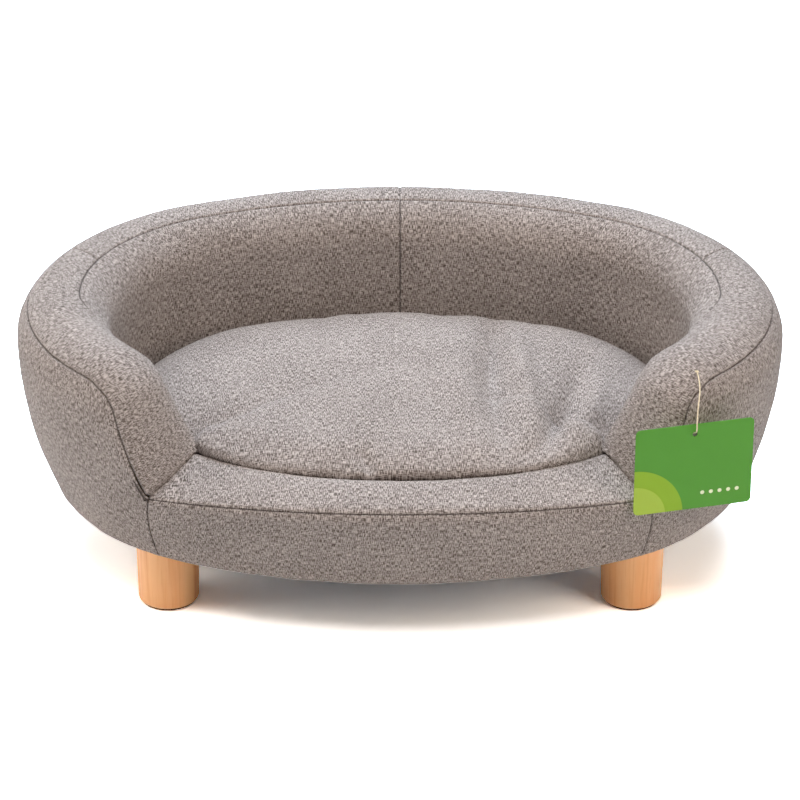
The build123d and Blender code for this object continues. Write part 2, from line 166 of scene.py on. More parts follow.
def thread_curve(name, points, diameter, closed=False):
    """Round thread along a smooth spline with these control points."""
    data = bpy.data.curves.new(name, "CURVE")
    data.dimensions = "3D"
    data.bevel_depth = diameter / 2
    data.bevel_resolution = 3
    data.resolution_u = 10
    data.use_fill_caps = True
    spline = data.splines.new("NURBS")
    spline.points.add(len(points) - 1)
    spline.points.foreach_set("co", np.column_stack([points, np.ones(len(points))]).ravel())
    spline.order_u = 3
    spline.use_cyclic_u = closed
    spline.use_endpoint_u = not closed
    return placed(name, data)


def thread_finish():
    """Twisted cotton: slanting plies about half a millimetre apart, and a little fuzz."""
    shader = Shader("cream_thread")
    plies = shader.noise(shader.object_place((1400, 1400, 900)), 1.0)
    color = shader.mix(shader.spread(plies, 0.35, 0.65), linear(206, 192, 160), linear(246, 238, 214))
    shader.bump(plies, 0.0002)
    return shader.finish(color, 0.85, sheen_weight=0.3)


def knot_points(centre, size, across, up):
    """Trefoil knot: x = sin t + 2 sin 2t, y = cos t - 2 cos 2t, z = -sin 3t, scaled and turned to a plane."""
    turn = np.linspace(0, math.tau, 30, endpoint=False)
    flat = np.sin(turn) + 2 * np.sin(2 * turn)
    tall = np.cos(turn) - 2 * np.cos(2 * turn)
    deep = -np.sin(3 * turn)
    across, up = np.array(across), np.array(up)
    out = np.cross(across, up)
    return np.array(centre) + size / 3 * (flat[:, None] * across + tall[:, None] * up + deep[:, None] * out)


def thread_knot(node, size, across, up):
    """Small hand-tied knot that stands for a round solid of the frame, at its middle."""
    low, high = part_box(node)
    points = knot_points((low + high) / 2, size, across, up)
    knot = thread_curve(node + "_thread", points, string_diameter, closed=True)
    knot.data.materials.append(thread)
    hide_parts(node)
    return knot


thread = thread_finish()
tag_turn = math.radians(14.5)
tag_across = (math.cos(tag_turn), math.sin(tag_turn), 0)
back_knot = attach(thread_knot("tag_knot", back_knot_size, tag_across, (0, 0, 1)), "string")
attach(thread_knot("tag_stitch", arm_knot_size, (1, 0, 0), arm_knot_up), "bed")
string = thread_curve("tag_string_thread", string_route, string_diameter)
string.data.materials.append(thread)
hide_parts("tag_string")
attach(string, "string")

# Legs: round turned pine, slightly tapered, with the grain upright and a clear matt lacquer. Each stands on a thin
# felt pad and is screwed to a nut in the board above.
pine_light = linear(253, 196, 137)
pine_mid = linear(248, 176, 113)
pine_dark = linear(218, 132, 68)


def pine_finish():
    """Upright grain: broad bands of early and late wood bent by noise, with fine dark fibres over them."""
    shader = Shader("turned_pine")
    broad = shader.noise(shader.object_place((38, 38, 2.6), (3, 1, 0)), 3.0, 0.55)
    bands = shader.noise(shader.object_place((150, 150, 4.5)), 2.0, 0.6)
    fibre = shader.noise(shader.object_place((900, 900, 18)), 2.0, 0.6)
    color = shader.mix(shader.spread(broad, 0.35, 0.68), pine_light, pine_mid)
    color = shader.mix(shader.spread(bands, 0.52, 0.75, 0.0, 0.55), color, pine_dark)
    color = shader.mix(shader.spread(fibre, 0.55, 0.8, 0.0, 0.35), color, pine_dark)
    shader.bump(fibre, 0.00012, 0.6)
    roughness = shader.spread(fibre, 0.3, 0.7, 0.42, 0.55)
    return shader.finish(color, roughness, coat_weight=0.12, coat_roughness=0.35)


def felt_finish():
    """Pressed brown felt with loose fibres."""
    shader = Shader("brown_felt")
    fibres = shader.noise(shader.object_place((1200, 1200, 1200)), 3.0)
    color = shader.mix(fibres, linear(58, 42, 32), linear(112, 88, 68))
    shader.bump(fibres, 0.0003)
    return shader.finish(color, 0.95, sheen_weight=0.2)


paint(["leg_front_left", "leg_front_right", "leg_back_left", "leg_back_right"], pine_finish())
paint(["leg_pads"], felt_finish())

# Base board, ribs and rails: birch plywood and bent hardboard, left raw because the cloth hides them.
# Screws, bolts and nuts are zinc-plated steel, staples are galvanised wire.


def board_finish(name, pale, dark, grain):
    """Raw board: long faint grain in one direction and fine pores."""
    shader = Shader(name)
    streaks = shader.noise(shader.object_place(grain), 4.0, 0.6)
    pores = shader.noise(shader.object_place((700, 700, 700)), 2.0)
    color = shader.mix(shader.spread(streaks, 0.3, 0.7), pale, dark)
    color = shader.mix(shader.spread(pores, 0.6, 0.8, 0.0, 0.4), color, dark)
    shader.bump(pores, 0.0001)
    return shader.finish(color, 0.8)


def steel_finish():
    """Zinc plate: a pale grey metal with small dull clouds."""
    shader = Shader("zinc_plate")
    clouds = shader.noise(shader.object_place((350, 350, 350)), 3.0)
    color = shader.mix(clouds, linear(168, 170, 172), linear(206, 208, 208))
    return shader.finish(color, shader.spread(clouds, 0.3, 0.7, 0.3, 0.5), metallic=1.0)


plywood = board_finish("birch_plywood", linear(226, 198, 158), linear(196, 160, 116), (8, 60, 400))
hardboard = board_finish("bent_hardboard", linear(146, 108, 74), linear(112, 80, 54), (160, 160, 160))
paint(["base_board", "wall_ribs", "top_rail", "front_rail"], plywood)
paint(["inner_panel", "outer_panel"], hardboard)
paint(["leg_bolts", "leg_nuts", "frame_screws", "staples"], steel_finish())

# Linings: two sheets of thin dark bonded cloth with a pressed grid of dots. One is stapled under the board, and
# the other lies on top of it, under the cushion.
lining_dot_pitch = 0.003


def bonded_cloth_finish():
    """Dots as the product of two sine waves, over fine fibres."""
    shader = Shader("bonded_lining")
    axes = shader.node("SeparateXYZ", {0: shader.object_place((1, 1, 1))}).outputs
    waves = [shader.math("SINE", shader.math("MULTIPLY", axes[k], math.tau / lining_dot_pitch)) for k in (0, 1)]
    dots = shader.math("MULTIPLY", *waves)
    fibres = shader.noise(shader.object_place((500, 500, 500)), 3.0)
    color = shader.mix(fibres, linear(34, 34, 36), linear(66, 66, 68))
    shader.bump(dots, 0.0002)
    return shader.finish(color, 0.9)


paint(["base_lining", "seat_lining"], bonded_cloth_finish())

# The wall's shape. The outline is two round ends joined by two long arcs, and the padded roll follows it round
# the back and the arms. At each arm it bends and slopes down as a nose that gets flatter and squarer.
half_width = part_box("cover_outer_right")[1].x
half_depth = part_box("cover_outer_right")[1].y
body_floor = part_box("cover_outer_right")[0].z
rim_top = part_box("cover_rim_back_right")[1].z
seat_gap = 0.001
seat_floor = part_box("base_board")[1].z + seat_gap
end_radius = 0.262
roll_radius = 0.048
bulge_radius = 0.3827
base_corner = 0.0207
nose_start = math.radians(44.8)
nose_bend = 0.0103
nose_slope = math.radians(56.2)
nose_straight = 0.0934
nose_tuck = 0.012
nose_swell = 0.007
nose_skew = 0.026
foot_tuck = 0.003
foot_rise = 0.008
foot_power = 4.3

end_centre = half_width - end_radius
long_radius = (end_centre**2 + half_depth**2 - end_radius**2) / (2 * (half_depth - end_radius))
long_centre = long_radius - half_depth
end_bearing = math.atan2(long_centre, end_centre)
roll_height = rim_top - roll_radius
long_run = (math.pi / 2 - end_bearing) * (long_radius - roll_radius)
level_run = long_run + (end_bearing + nose_start) * (end_radius - roll_radius)
bend_run = nose_bend * nose_slope
nose_run = bend_run + nose_straight


def outline(bearing, inset, height):
    """Points whose outward normal has a bearing: the centre of that arc plus its radius less the inset."""
    bearing, inset, height = np.broadcast_arrays(bearing, inset, height)
    round_end = np.abs(np.sin(bearing)) <= math.sin(end_bearing)
    x = np.where(round_end, np.copysign(end_centre, np.cos(bearing)), 0.0)
    y = np.where(round_end, 0.0, -np.copysign(long_centre, np.sin(bearing)))
    reach = np.where(round_end, end_radius, long_radius) - inset
    return np.stack([x + reach * np.cos(bearing), y + reach * np.sin(bearing), height], -1)


def wall_bearing(along):
    """Bearing at a length along the wall's middle line, measured from the middle of the back."""
    on_back = math.pi / 2 - along / (long_radius - roll_radius)
    on_end = end_bearing - (along - long_run) / (end_radius - roll_radius)
    return np.where(along < long_run, on_back, on_end)


def outline_length(points):
    """Length along the outline from the middle of the back to the points' bearings, the same on both sides: the
    turn times the long radius, less what the round end is shorter."""
    x, y = np.abs(points[..., 0]), points[..., 1]
    on_end = np.arctan2(y, np.maximum(x - end_centre, 1e-9))
    on_long = np.arctan2(y + np.copysign(long_centre, y), x)
    bearing = np.where(np.abs(on_end) < end_bearing, on_end, on_long)
    past_back = end_bearing - np.clip(bearing, -end_bearing, end_bearing)
    return (math.pi / 2 - bearing) * long_radius - past_back * (long_radius - end_radius)


def face_inset(height):
    """How far the bulging outer face is drawn in at a height: one arc, upright at the roll's middle."""
    drop = np.maximum(roll_height - height, 0)
    return bulge_radius - np.sqrt(bulge_radius**2 - drop**2)


def roll_path(run):
    """Centre line of the roll by its own length: level, then a tight arc, then a straight slope."""
    past = run - level_run
    tilt = np.clip(past / nose_bend, 0, nose_slope)
    straight = np.maximum(past - bend_run, 0)
    along = np.minimum(run, level_run) + nose_bend * np.sin(tilt) + straight * math.cos(nose_slope)
    height = roll_height - nose_bend * (1 - np.cos(tilt)) - straight * math.sin(nose_slope)
    return along, height, tilt, np.clip(past / nose_run, 0, 1)


def roll_surface(run, angle):
    """The roll at an angle round it, 0 outside and a quarter turn at its crest: a superellipse square to the
    centre line, with a power that grows and a rise that shrinks down the nose. The nose's inner side runs further
    forward, and its foot is tucked in."""
    along, height, tilt, share = roll_path(run)
    power = 2 / (2 + (foot_power - 2) * share)
    side = np.sign(np.cos(angle)) * np.abs(np.cos(angle)) ** power
    rise = np.abs(np.sin(angle)) ** power * (roll_radius + (foot_rise - roll_radius) * share)
    along = along + rise * np.sin(tilt)
    height = height + rise * np.cos(tilt)
    inset = roll_radius * (1 - side) + face_inset(height) * (side + 1) / 2
    along = along + nose_skew * share**1.5 * (1 - side) / 2
    tuck = np.maximum(run - level_run - nose_run + foot_tuck, 0) * np.clip(side, 0, 1)
    return along, inset + nose_swell * share**2 * np.clip(-side, 0, 1) + tuck, height


def wall_points(along, inset, height):
    """The outline's points at lengths along the wall's middle line."""
    return outline(wall_bearing(along), inset, height)


# Sewn panels: all are cut from one woven upholstery cloth and padded with foam. Each is a grid of points, drawn
# in along its seams and turned under there, as sewn cloth is.
cloth_thickness = 0.0012
grid_step = 0.005
seam_rows = np.array([0, 0.0005, 0.0010, 0.0016, 0.0024, 0.0036, 0.0056])
seam_depth = 0.0013
seam_width = 0.0012
# Width of the painted shade along each seam:
seam_shadow = 0.0007
turned_under = 0.004
edge_places = ((0, 0, 1), (0, -1, -2), (1, 0, 1), (1, -1, -2))
pucker_height = 0.00022
pucker_length = 0.0105
pucker_reach = 0.008
uneven_heights = (0.0005, 0.00022)
uneven_lengths = (0.09, 0.03)
uneven_start = 0.02
cloth_shift = 0.173


def spacing(length, first_sewn, last_sewn):
    """Distances from 0 to a length: an even step, and closer lines beside an edge that is sewn."""
    first = seam_rows if first_sewn else seam_rows[:1]
    last = length - (seam_rows if last_sewn else seam_rows[:1])[::-1]
    count = max(int((last[0] - first[-1]) / grid_step), 1)
    return np.concatenate([first, np.linspace(first[-1], last[0], count + 1)[1:-1], last])


def lengths(points, axis):
    """Length along the grid's lines up to each point, in one direction of the grid."""
    steps = np.linalg.norm(np.diff(points, axis=axis), axis=2)
    start = np.zeros((1, steps.shape[1]) if axis == 0 else (steps.shape[0], 1))
    return np.concatenate([start, np.cumsum(steps, axis=axis)], axis=axis)


def respaced(points, first_sewn, last_sewn):
    """Each column read again at even lengths, closer beside the edges that are sewn."""
    have = lengths(points, 1)
    shares = spacing(have[:, -1].mean(), first_sewn, last_sewn)
    wanted = have[:, -1:] * shares / shares[-1]
    columns = zip(wanted, have, points)
    read = [[np.interp(want, got, column[:, k]) for k in range(3)] for want, got, column in columns]
    return np.array(read).transpose(0, 2, 1)


def swell(u, v, seed, wavelength):
    """Gentle unevenness between about -1 and 1: eight plane waves with seeded directions and phases."""
    random = np.random.default_rng(seed)
    total = np.zeros_like(u)
    for turn, stretch, phase in random.uniform([0, 0.6, 0], [math.pi, 1.7, math.tau], (8, 3)):
        wave = math.tau * (u * math.cos(turn) + v * math.sin(turn)) / (wavelength * stretch)
        total += np.sin(wave + phase)
    return total / 4


def normals(points):
    """Unit normals of a grid, from its two directions."""
    cross = np.cross(np.gradient(points, axis=0), np.gradient(points, axis=1))
    return cross / np.maximum(np.linalg.norm(cross, axis=2, keepdims=True), 1e-9)


def sewn_grid(points, sewn, seed, origin):
    """Adds what sewing does: the pull along seams, small puckers beside them, a soft unevenness elsewhere, and the
    edge turned back under its own panel. Returns the points, the cloth coordinates, which run up and down from the
    origin's share of each column and, if that is its lower end, along the outline, and how close each point is to
    a seam, which sets the painted shade along the seams."""
    across, down = lengths(points, 0), lengths(points, 1)
    edges = (across, across[-1:] - across, down, down[:, -1:] - down)
    gap = np.min([edge if is_sewn else np.full_like(edge, 1.0) for edge, is_sewn in zip(edges, sewn)], axis=0)
    beside = np.where(edges[0] + edges[1] < edges[2] + edges[3], down, across)
    pull = seam_depth * np.exp(-((gap / seam_width) ** 2))
    pucker = pucker_height * np.exp(-gap / pucker_reach) * swell(beside, beside * 0, seed + 5, pucker_length)
    uneven = sum(uneven_heights[k] * swell(across, down, seed + k, uneven_lengths[k]) for k in (0, 1))
    out = normals(points)
    points = points + out * (pucker + uneven * np.clip(gap / uneven_start, 0, 1) - pull)[..., None]
    middle = int(origin * (across.shape[1] - 1))
    u = outline_length(points) if origin == 1 else np.broadcast_to(across[:, middle][:, None], gap.shape)
    # Painted shade along the seams: 1 at a seam, fading within about a millimetre, for the shadow in its groove.
    painted_seam_shade = np.exp(-((gap / seam_shadow) ** 2))
    layers = [points, np.stack([u, down - down[:, middle][:, None]], -1), painted_seam_shade[..., None], out]
    for axis, edge, next_line in [place for place, is_sewn in zip(edge_places, sewn) if is_sewn]:
        rims = [layer.take([edge], axis) for layer in layers]
        outward = rims[0] - layers[0].take([next_line], axis)
        outward /= np.linalg.norm(outward, axis=2, keepdims=True)
        rims[0] = rims[0] - turned_under * (rims[3] + outward) / math.sqrt(2)
        pairs = [[rim, layer] if edge == 0 else [layer, rim] for rim, layer in zip(rims, layers)]
        layers = [np.concatenate(pair, axis) for pair in pairs]
    return layers[0], layers[1], layers[2][..., 0]


def grid_faces(rows, columns):
    """Quads of a grid, turned so that their normals follow the first direction crossed with the second."""
    corner = np.arange(rows * columns).reshape(rows, columns)
    return np.stack([corner[:-1, :-1], corner[1:, :-1], corner[1:, 1:], corner[:-1, 1:]], -1).reshape(-1, 4)


def lay_cloth(mesh, places):
    """Cloth coordinates in metres, given for each point, as the mesh's own map."""
    corners = np.empty(len(mesh.loops), int)
    mesh.loops.foreach_get("vertex_index", corners)
    mesh.uv_layers.new(name="cloth").uv.foreach_set("vector", places.reshape(-1, 2)[corners].ravel())


def mesh_piece(name, points, faces, cloth_places=None, seam=None):
    """Smooth mesh object from whole arrays, with its cloth coordinates and its nearness to seams, for painted shade.
    """
    mesh = bpy.data.meshes.new(name)
    mesh.from_pydata(points.reshape(-1, 3).tolist(), [], faces.tolist())
    mesh.polygons.foreach_set("use_smooth", np.ones(len(mesh.polygons), bool))
    if cloth_places is not None:
        lay_cloth(mesh, cloth_places)
    if seam is not None:
        # The seam attribute is the painted shade along the seams.
        mesh.attributes.new("seam", "FLOAT", "POINT").data.foreach_set("value", seam.ravel())
    return placed(name, mesh)


cloth_pale = linear(206, 199, 197)
cloth_mid = linear(150, 142, 140)
cloth_dark = linear(92, 85, 81)
# Colour of the painted shade along the seams.
painted_seam_shade_color = linear(36, 31, 28)
yarn = 0.0006
stroke = 8 * yarn
slub = 12 * yarn


def woven_cloth(name):
    """Melange plain weave on the cloth coordinates, in metres: warp yarns run one way and weft yarns the other,
    each uneven along its length and some with long pale slubs, over small flecks. Seams take painted shade."""
    shader = Shader(name)
    place = shader.node("UVMap", uv_map="cloth").outputs[0]
    warp = shader.noise(shader.place(place, (1 / yarn, 1 / stroke, 1)), 0.0)
    weft = shader.noise(shader.place(place, (1 / stroke, 1 / yarn, 1), (7.3, 2.1, 4)), 0.0)
    flecks = shader.noise(shader.place(place, (1 / yarn, 1 / yarn, 1), (3, 9, 8)), 0.0)
    yarns = shader.math("ADD", shader.math("MULTIPLY", warp, 0.54), shader.math("MULTIPLY", weft, 0.36))
    tone = shader.math("ADD", yarns, shader.math("MULTIPLY", flecks, 0.10))
    clouds = shader.noise(shader.place(place, (14, 14, 1)), 3.0)
    tone = shader.math("ADD", tone, shader.math("MULTIPLY", shader.math("SUBTRACT", clouds, 0.5), 0.08))
    for scale, offset in (((1 / yarn, 1 / slub, 1), (11, 5, 2)), ((1 / slub, 1 / yarn, 1), (6, 17, 9))):
        slubs = shader.noise(shader.place(place, scale, offset), 0.0)
        tone = shader.math("ADD", tone, shader.spread(slubs, 0.62, 0.72, 0.0, 0.10))
    color = shader.mix(shader.spread(tone, 0.40, 0.52), cloth_dark, cloth_mid)
    color = shader.mix(shader.spread(tone, 0.53, 0.60), color, cloth_pale)
    # Painted shade: the cloth darkens towards this colour along the seams, for the shadow in their grooves.
    seam = shader.node("Attribute", attribute_name="seam").outputs["Fac"]
    color = shader.mix(shader.math("MULTIPLY", seam, 0.8), color, painted_seam_shade_color)
    axes = shader.node("SeparateXYZ", {0: place}).outputs
    turns = [shader.math("SINE", shader.math("MULTIPLY", axes[k], math.pi / yarn)) for k in (0, 1)]
    crowns = shader.math("ABSOLUTE", shader.math("MULTIPLY", *turns))
    shader.bump(shader.math("ADD", tone, shader.math("MULTIPLY", crowns, 0.25)), 0.0006, 0.9)
    return shader.finish(color, 0.93, sheen_weight=0.10, sheen_roughness=0.5, specular_ior_level=0.2)


wall_cloth = woven_cloth("taupe_melange_cloth")


def sewn_panel(name, points, sewn, seed, replaced, side=1, origin=0.5, shade=1.0):
    """One panel of the wall's cloth. Left ones are the right ones mirrored, with their grid turned round so that
    they still face outwards. The shade says how dark the painted shade along its seams is."""
    if side < 0:
        points = points[::-1] * (-1, 1, 1)
        sewn = (sewn[1], sewn[0], *sewn[2:])
    points, places, seam = sewn_grid(respaced(points, *sewn[2:]), sewn, seed, origin)
    piece = mesh_piece(name, points, grid_faces(*seam.shape), places + seed * cloth_shift, seam * shade)
    wall = piece.modifiers.new("cloth", "SOLIDIFY")
    wall.thickness = cloth_thickness
    wall.offset = -1
    piece.data.materials.append(wall_cloth)
    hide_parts(*replaced)
    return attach(piece, "bed")


# Outer panels: from the seam on the roll, down the bulging face and round the base edge to the staples under the
# board. They meet at the middle of the back, and end at the front's side seams.
rim_seam = math.radians(40.2)
foot_seam = math.radians(18.8)
side_seam_bearing = math.radians(61.0)
side_seam_bow = math.radians(1.7)
side_seam_middle = 0.103
side_seam_reach = 0.051
flange_inset = 0.070
column_count = 40

corner_rise = roll_height - body_floor - base_corner
base_inset = bulge_radius - math.sqrt((bulge_radius - base_corner) ** 2 - corner_rise**2)
base_angle = math.atan2(corner_rise, bulge_radius - base_inset)
base_edge_top = body_floor + base_corner * (1 - math.sin(base_angle))


def side_seam(height):
    """Bearing of the seam between the outer panel and the low front, which leans forward towards its top."""
    rise = np.clip((height - side_seam_middle) / side_seam_reach, 0, 1)
    return side_seam_bearing + side_seam_bow * rise**2


def outer_seam(run):
    """Angle round the roll of the seam on its outer side."""
    return rim_seam + (foot_seam - rim_seam) * roll_path(run)[3]


def base_edge():
    """Insets and heights of an arc round the base edge, and then of the flat return under the board."""
    turn = np.linspace(base_angle, math.pi / 2, column_count)
    inset = np.append(base_inset - base_corner * np.cos(turn), flange_inset)
    height = np.append(body_floor + base_corner * (1 - np.sin(turn)), body_floor)
    return inset, height


def outer_columns(runs):
    """Down the roll from its seam, down the face, round the base edge. The last columns bend to the side seam."""
    runs = runs[:, None]
    share = np.linspace(0, 1, column_count)
    along, height, _, nose = roll_path(runs)
    down = height + (base_edge_top - height) * share
    seam_along = long_run + (end_bearing + side_seam(down)) * (end_radius - roll_radius)
    lean = (seam_along - along[-1]) * nose
    top_along, top_inset, top_height = roll_surface(runs, outer_seam(runs) * (1 - share))
    top = wall_points(top_along + lean[:, :1] * share, top_inset, top_height)
    face = wall_points(along + lean, face_inset(down), down)
    under = wall_points((along + lean)[:, -1:], *base_edge())
    return np.concatenate([top, face[:, 1:], under[:, 1:]], axis=1)


run_end = level_run + nose_run
back_runs = spacing(run_end, True, True)
for side, name in ((1, "right"), (-1, "left")):
    replaced = ["cover_outer_" + name, "outer_foam"]
    sewn_panel("outer_panel_" + name, outer_columns(back_runs), (True, True, True, False), 11 + side, replaced,
               side, origin=1)

# The low front's shape: level on its inner side, where it stands as high as the cushion, and falling away to the
# seam along its front, most at both ends. That edge is well rounded at the middle and sharp beside the noses.
front_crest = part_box("cover_front_top")[1].z
front_inner_fall = 0.004
front_seam_level = 0.1672
front_seam_fall = 0.0142
front_seam_angle = math.radians(38)
front_edge = 0.004
front_edge_growth = 0.011
front_thinning = 0.012
front_corner = 0.012
front_corner_growth = 0.015
front_crown = 0.001
crease_depth = 0.005
crease_reach = 0.0026
crease_start = 0.02
crease_shift = 0.0035
crease_skew = math.radians(2.8)


def front_middle(bearing):
    """1 at the middle of the front and 0 at its sides, as a parabola across the bed's width."""
    side = outline(-side_seam_bearing, 0, 0)[0]
    return np.clip(1 - (outline(bearing, 0, 0)[..., 0] / side) ** 2, 0, 1)


def front_edge_shape(bearing):
    """Radius of the front's rounded edge, its top's height and the inset of its centre, at a bearing."""
    middle = front_middle(bearing)
    radius = front_edge + front_edge_growth * middle
    crest = front_seam_level - front_seam_fall * (1 - middle) + radius * (1 - math.sin(front_seam_angle))
    return radius, crest, face_inset(crest - radius) + radius


def front_top_shape(bearing):
    """Height of the top's inner side, the wall's thickness and the radius of its inner corner, at a bearing."""
    middle = front_middle(bearing)
    crest = front_crest - front_inner_fall * (1 - middle)
    return crest, 2 * roll_radius - front_thinning * middle, front_corner + front_corner_growth * middle


def front_level(bearing, inset):
    """Height of the low front's top: a straight slope from its edge inwards, then a round inner corner."""
    _, outer, start = front_edge_shape(bearing)
    inner, thick, corner = front_top_shape(bearing)
    share = np.clip((inset - start) / (thick - corner - start), 0, 1)
    past = np.clip(inset - thick + corner, 0, corner)
    return outer + (inner - outer) * share - corner + np.sqrt(corner**2 - past**2)


# Rim strips: one over the back half of each side and one over each arm, joined by a seam that runs askew across
# the rim. The arm's strip goes over the nose and down its slope, and is tucked in behind the low front.
inner_seam = math.radians(112)
inner_arm_seam = math.radians(156)
inner_seam_start = math.radians(4)
inner_seam_turn = math.radians(30)
cross_seam_inner = math.radians(20.7)
cross_seam_outer = math.radians(27.6)
foot_rounding = 0.0055
foot_reach = 0.0075
foot_blend = 0.018
foot_length = 0.030
foot_step = 0.0012


def inner_seam_angle(run):
    """Angle round the roll of the seam on its inner side. It goes down towards the seat along the arm, as an S."""
    past = (run - long_run) / (end_radius - roll_radius) - end_bearing - inner_seam_start
    share = np.clip(past / inner_seam_turn, 0, 1)
    return inner_seam + (inner_arm_seam - inner_seam) * share**2 * (3 - 2 * share)


def strip_columns(runs, first_shift=0.0, last_shift=0.0):
    """Over the roll from its inner seam to its outer seam. A shift slides the outer end of a strip's edge column
    along the wall, fading out over the strip's other columns. The nose's foot curls under as a quarter circle."""
    share = np.linspace(0, 1, 2 * column_count)
    fade = ((runs - runs[0]) / (runs[-1] - runs[0]))[:, None]
    slid = runs[:, None] + first_shift * (1 - fade) ** 2 * share + last_shift * fade**2 * share
    start, stop = inner_seam_angle(slid), outer_seam(slid)
    along, inset, height = roll_surface(slid, start + (stop - start) * share)
    under = np.clip(1 - (height - front_level(-side_seam_bearing, inset)) / foot_reach, 0, 1) * (slid > level_run)
    inside = np.clip((inset - inset[:, -1:]) / foot_blend, 0, 1)
    curl = foot_rounding * (1 - np.sqrt(1 - under**2)) * inside**2 * (3 - 2 * inside)
    return wall_points(along - curl, inset, height)


foot_from = run_end - foot_length
cross_run = long_run + (end_bearing - cross_seam_inner) * (end_radius - roll_radius)
cross_shift = (cross_seam_inner - cross_seam_outer) * (end_radius - roll_radius)
for side, name in ((1, "right"), (-1, "left")):
    runs = spacing(cross_run, True, True)
    columns = strip_columns(runs, last_shift=cross_shift)
    sewn_panel("rim_strip_" + name, columns, (True, True, True, True), 21 + side,
               ["cover_rim_back_" + name, "rim_foam"], side, shade=0.3)
    runs = cross_run + spacing(run_end + nose_tuck - cross_run, True, False)
    runs = np.concatenate([runs[runs < foot_from], np.arange(foot_from, run_end + nose_tuck, foot_step)])
    columns = strip_columns(runs, first_shift=cross_shift)
    sewn_panel("arm_strip_" + name, columns, (True, False, True, True), 31 + side,
               ["cover_arm_" + name, "arm_foam_" + name], side)

# Inner panels: the same cloth over thin foam, from the seat up the inner face to the seam on the roll. They are
# joined at the middle of the back, stapled down at the seat and sewn to the rim strips above.


def inner_columns(runs):
    """Up the inner face, then round the roll's inner side to its seam."""
    runs = runs[:, None]
    share = np.linspace(0, 1, column_count)
    along, height = roll_path(runs)[:2]
    rise = seat_floor + (height - seat_floor) * share
    face = wall_points(along, 2 * roll_radius, rise)
    seam = inner_seam_angle(runs)
    top = wall_points(*roll_surface(runs, math.pi + (seam - math.pi) * share))
    return np.concatenate([face, top[:, 1:]], axis=1)


for side, name in ((1, "right"), (-1, "left")):
    sewn_panel("inner_panel_" + name, inner_columns(back_runs), (True, True, False, True), 41 + side,
               ["cover_inner_" + name, "inner_foam"], side)

# Low front: a foam block with two panels. The top one lies between the noses and goes down behind the cushion.
# The face one bulges like the outer panels and is sewn to them at both sides.
front_end = side_seam(front_seam_level - front_seam_fall)
front_spread = 0.09


def front_shares(sewn):
    """Places across the front, from -1 at its right side to 1 at its left, even in length."""
    length = 2 * (math.pi / 2 - front_end) * (long_radius - roll_radius)
    return spacing(length, sewn, sewn)[:, None] * 2 / length - 1


def front_top_columns(shares):
    """Up behind the cushion, round the inner corner, over the top, down to the front's seam. The ends go under the
    noses, most on the inner side, and dip into the creases beside them."""
    run = np.linspace(0, 1, column_count)
    turn = (math.pi / 2 - front_end) * shares
    wide = -math.pi / 2 - turn * (1 + front_spread)
    slant = -math.pi / 2 - turn * (1 + front_spread * (1 - run))
    crest, thick, corner = front_top_shape(wide)
    bend = math.pi / 2 * run
    radius, edge_crest, edge_inset = front_edge_shape(-math.pi / 2 - turn)
    angle = math.pi / 2 + (front_seam_angle - math.pi / 2) * run
    flat_inset = thick - corner + (edge_inset - thick + corner) * run
    flat = front_level(slant, flat_inset) + front_crown * np.sin(math.pi * run)
    parts = (
        (wide, thick, seat_floor + (crest - corner - seat_floor) * run),
        (wide, thick - corner * (1 - np.cos(bend)), crest - corner * (1 - np.sin(bend))),
        (slant, flat_inset, flat),
        (-math.pi / 2 - turn, edge_inset - radius * np.cos(angle), edge_crest - radius * (1 - np.sin(angle))),
    )
    whole = [np.broadcast_arrays(*part, run * shares)[:3] for part in parts]
    bearing, inset, height = (np.concatenate([part[k][:, min(n, 1):] for n, part in enumerate(whole)], 1)
                              for k in range(3))
    skew = crease_skew * inset / (2 * roll_radius)
    gap = (np.abs(bearing) - front_end - skew) * (end_radius - roll_radius)
    on_top = np.clip((inset - edge_inset) / crease_start, 0, 1) * (height > crest - corner)
    gap = gap + crease_shift * np.clip((inset - edge_inset) / foot_blend, 0, 1)
    dip = crease_depth * np.exp(-((np.maximum(gap, 0) / crease_reach) ** 2)) + np.maximum(-gap, 0)
    return outline(bearing, inset, height - dip * on_top)


def front_face_columns(shares):
    """From the front's seam down the bulging face and round the base edge. The ends follow the side seams."""
    run = np.linspace(0, 1, column_count)
    radius, edge_crest, edge_inset = front_edge_shape(-math.pi / 2 - (math.pi / 2 - front_end) * shares)
    angle = front_seam_angle * (1 - run)
    down = edge_crest - radius + (base_edge_top - edge_crest + radius) * run
    under_inset, under_height = (part + 0 * shares for part in base_edge())
    edge = edge_inset - radius * np.cos(angle)
    inset = np.concatenate([edge, face_inset(down)[:, 1:], under_inset[:, 1:]], 1)
    height = np.concatenate([edge_crest - radius * (1 - np.sin(angle)), down[:, 1:], under_height[:, 1:]], 1)
    return outline(-math.pi / 2 - (math.pi / 2 - side_seam(height)) * shares, inset, height)


sewn_panel("front_top_panel", front_top_columns(front_shares(False)), (False, False, False, True), 51,
           ["cover_front_top"])
sewn_panel("front_face_panel", front_face_columns(front_shares(True)), (True, True, True, False), 61,
           ["cover_front_face", "front_foam"])

